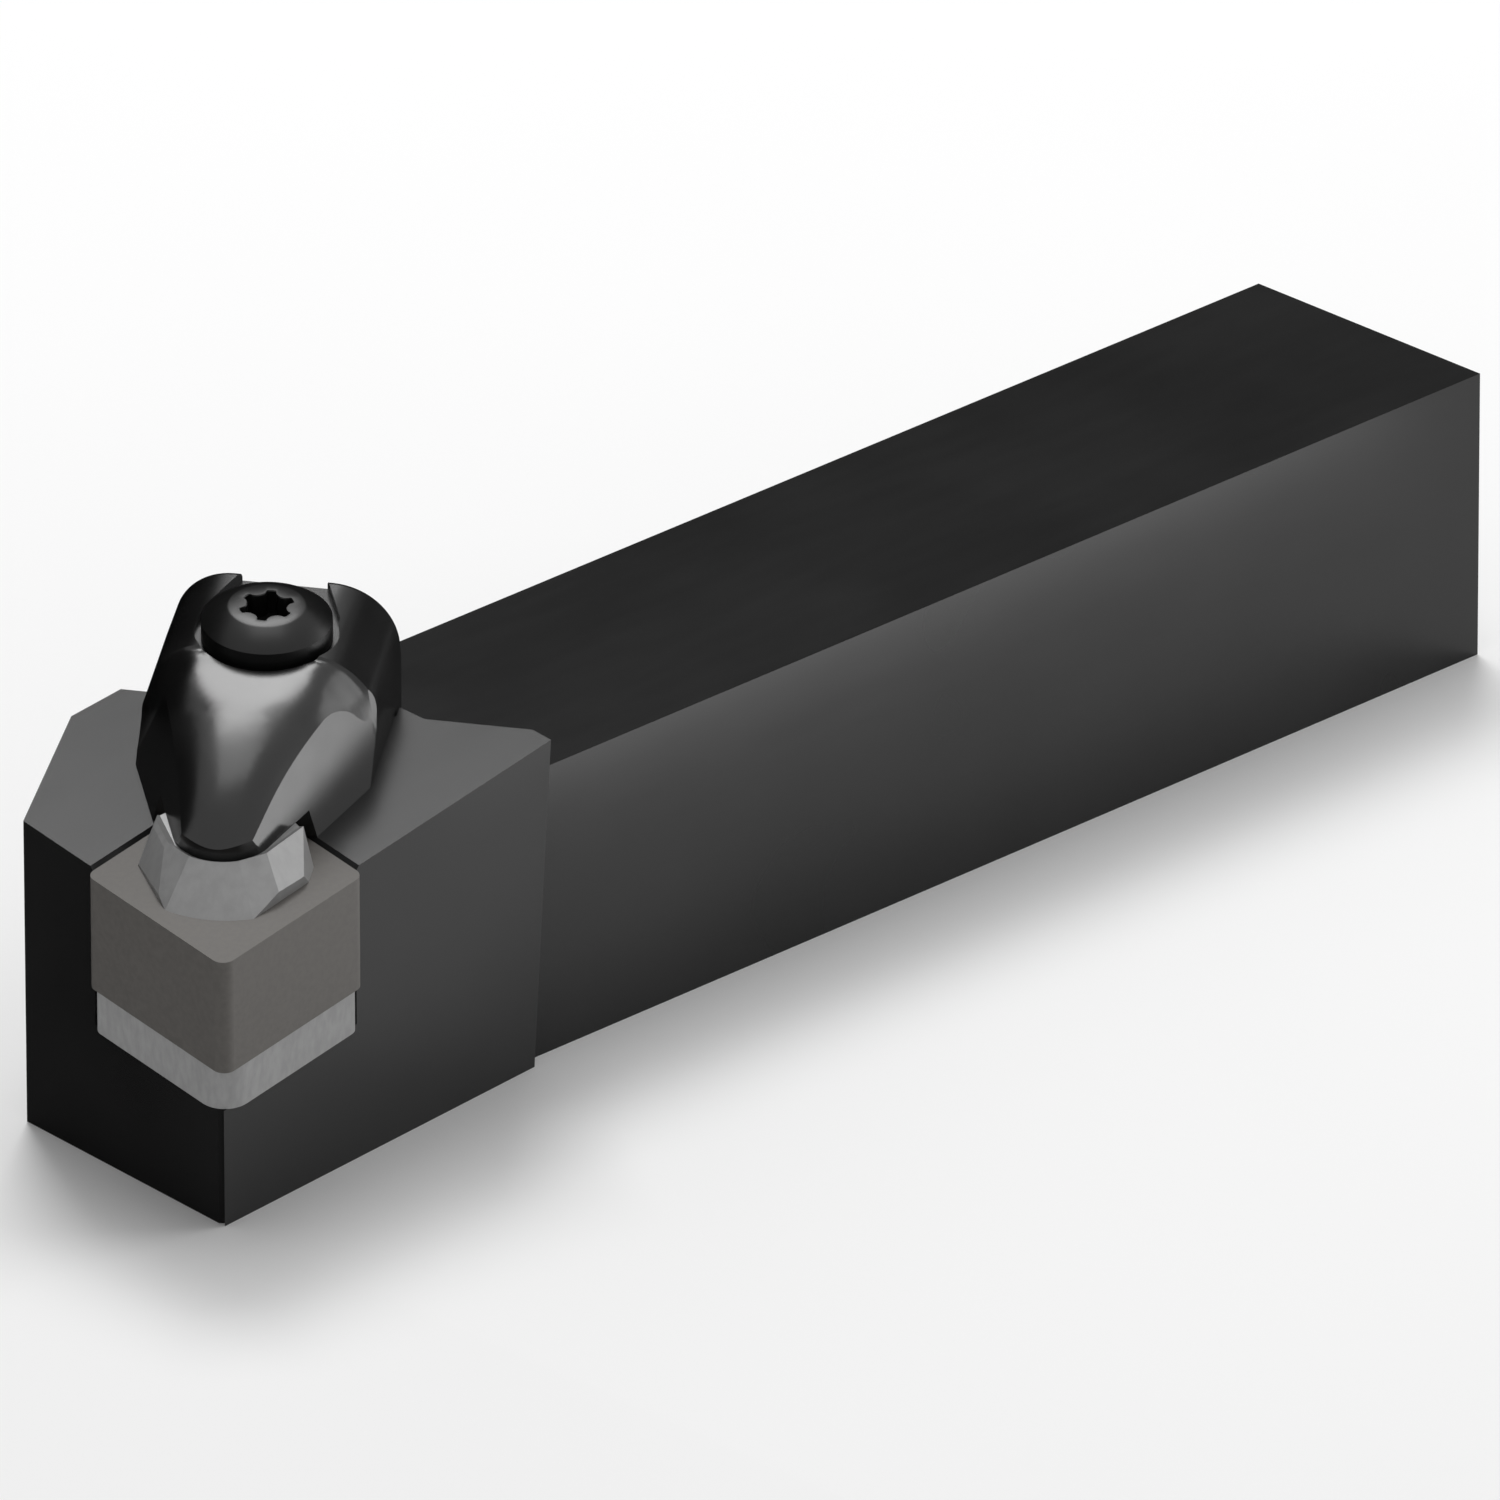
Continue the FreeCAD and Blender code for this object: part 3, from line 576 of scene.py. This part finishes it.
def black_card(name, corners):
    """Add a flat black card that only reflections show, as a studio's flags do."""
    mesh = bpy.data.meshes.new(name)
    mesh.from_pydata(corners, [], [tuple(range(len(corners)))])
    black = Finish(name, 1.0, specular=0.0)
    black.shader.inputs["Base Color"].default_value = (0, 0, 0, 1)
    mesh.materials.append(black.material)
    card = bpy.data.objects.new(name, mesh)
    bpy.context.scene.collection.objects.link(card)
    card.visible_camera = False
    card.visible_diffuse = False
    card.visible_shadow = False
    card.visible_transmission = False


def upright_corners(start, end, height):
    """Corners of an upright card that stands on the floor between two points."""
    return [(*start, 0), (*start, height), (*end, height), (*end, 0)]


def world_light(fill):
    """White where the camera and reflections see it, and a weaker fill for the rest."""
    world = bpy.data.worlds.new("studio")
    world.use_nodes = True
    nodes = world.node_tree.nodes
    links = world.node_tree.links
    background = nodes["Background"]
    background.inputs["Color"].default_value = (1, 1, 1, 1)
    seen = seen_by_rays(nodes, links)
    strength = nodes.new("ShaderNodeMapRange")
    strength.inputs["To Min"].default_value = fill
    strength.inputs["To Max"].default_value = 1.0
    links.new(seen, strength.inputs["Value"])
    links.new(strength.outputs["Result"], background.inputs["Strength"])
    bpy.context.scene.world = world


def seen_by_rays(nodes, links):
    """Return 1 for camera, glossy and transmission rays and 0 for the others."""
    path = nodes.new("ShaderNodeLightPath")
    total = path.outputs["Is Camera Ray"]
    for ray in ("Is Glossy Ray", "Is Transmission Ray"):
        larger = nodes.new("ShaderNodeMath")
        larger.operation = "MAXIMUM"
        links.new(total, larger.inputs[0])
        links.new(path.outputs[ray], larger.inputs[1])
        total = larger.outputs["Value"]
    return total


def photo_camera(stage):
    """Stand the camera where the photograph was taken from."""
    lens = bpy.data.cameras.new("photo_view")
    lens.sensor_width = 36
    lens.lens = stage.camera_lens
    lens.clip_end = 50
    camera = bpy.data.objects.new("photo_view", lens)
    camera.location = stage.camera_place
    camera.rotation_euler = Vector(stage.camera_aim).to_track_quat("-Z", "Y").to_euler()
    bpy.context.scene.collection.objects.link(camera)
    bpy.context.scene.camera = camera


def studio_lamps():
    """Light the part from behind, from above and from its cutting side.

    A fourth lamp lies on the floor beside the part, where only reflections show it.
    """
    soft_box("back_softbox", direction=(0.341, 0.406, 0.848), size=(0.34, 0.34), power=3.6)
    soft_box("top_softbox", direction=(0.1, 0.12, 1), size=(0.46, 0.46), power=1.8)
    soft_box("right_softbox", direction=(0.814, -0.47, 0.342), size=(0.5, 0.75), power=2.2)
    card = soft_box("right_card", direction=(0, 0, -1), size=(0.08, 0.075), power=0.08,
                    distance=0.059, aim=(0.02, -0.077, 0.06))
    card.visible_diffuse = False


def studio_flags():
    """Keep the part's reflections dark behind it, on its far side and on the floor there.

    The floor's card ends at the foot of the part, whose corners its outline follows.
    """
    black_card("back_flag", upright_corners((0.51, -0.11), (-0.05, 0.95), height=0.4))
    black_card("left_flag", upright_corners((0.3, 0.75), (-0.9, 0.45), height=0.8))
    card_level = 0.00005
    floor_outline = ((-1, 1), (-1, -1), (-0.0735, -1), (-0.0735, -0.0128), (-0.045, -0.0102),
                     (-0.045, -0.009), (1, -0.009), (1, 1))
    black_card("floor_flag", [(x, y, card_level) for x, y in floor_outline])


def plain_floor(stage):
    """Lay the pale floor under the part."""
    reach = 3.0
    corners = [(-reach, -reach, 0), (reach, -reach, 0), (reach, reach, 0), (-reach, reach, 0)]
    mesh = bpy.data.meshes.new("floor")
    mesh.from_pydata(corners, [], [(0, 1, 2, 3)])
    floor = bpy.data.objects.new("floor", mesh)
    finish = Finish("plain_floor", 0.8, specular=0.1)
    paper = finish.noise(scale=8, detail=2)
    finish.colour(paper, scaled(stage.floor_colour, 0.99), scaled(stage.floor_colour, 1.01))
    mesh.materials.append(finish.material)
    bpy.context.scene.collection.objects.link(floor)


class HOLDER_OT_stage(Operator):
    """Set the camera, the lamps, the white surroundings and the floor"""

    bl_idname = "turning_holder.stage"
    bl_label = "Stage"

    def execute(self, context):
        scene = context.scene
        stage = scene.turning_holder.stage
        for spare in [o for o in scene.objects if o.name in ("Cube", "Light", "Camera")]:
            bpy.data.objects.remove(spare)
        photo_camera(stage)
        world_light(stage.fill_strength)
        studio_lamps()
        studio_flags()
        plain_floor(stage)
        scene.view_settings.view_transform = "Standard"
        return {"FINISHED"}


class HOLDER_PT_panel(Panel):
    """Lists the steps that finish the tool holder."""

    bl_idname = "HOLDER_PT_panel"
    bl_label = "Tool holder"
    bl_space_type = "VIEW_3D"
    bl_region_type = "UI"
    bl_category = "Tool holder"

    def draw(self, context):
        for step in STEPS:
            self.layout.operator(step.bl_idname)


SETTINGS = (SteelSettings, HardMetalSettings, ScrewSettings, CoilSettings, StageSettings, HolderSettings)
STEPS = (HOLDER_OT_stage, HOLDER_OT_body, HOLDER_OT_hard_pieces, HOLDER_OT_clamp, HOLDER_OT_screw,
         HOLDER_OT_coil)


def register():
    for kind in SETTINGS + STEPS + (HOLDER_PT_panel,):
        bpy.utils.register_class(kind)
    bpy.types.Scene.turning_holder = PointerProperty(type=HolderSettings)


def unregister():
    del bpy.types.Scene.turning_holder
    for kind in reversed(SETTINGS + STEPS + (HOLDER_PT_panel,)):
        bpy.utils.unregister_class(kind)


def main():
    """Register the add-on and run its steps in order."""
    register()
    bpy.ops.turning_holder.stage()
    bpy.ops.turning_holder.body()
    bpy.ops.turning_holder.hard_pieces()
    bpy.ops.turning_holder.clamp()
    bpy.ops.turning_holder.screw()
    bpy.ops.turning_holder.coil()


if __name__ == "__main__":
    main()
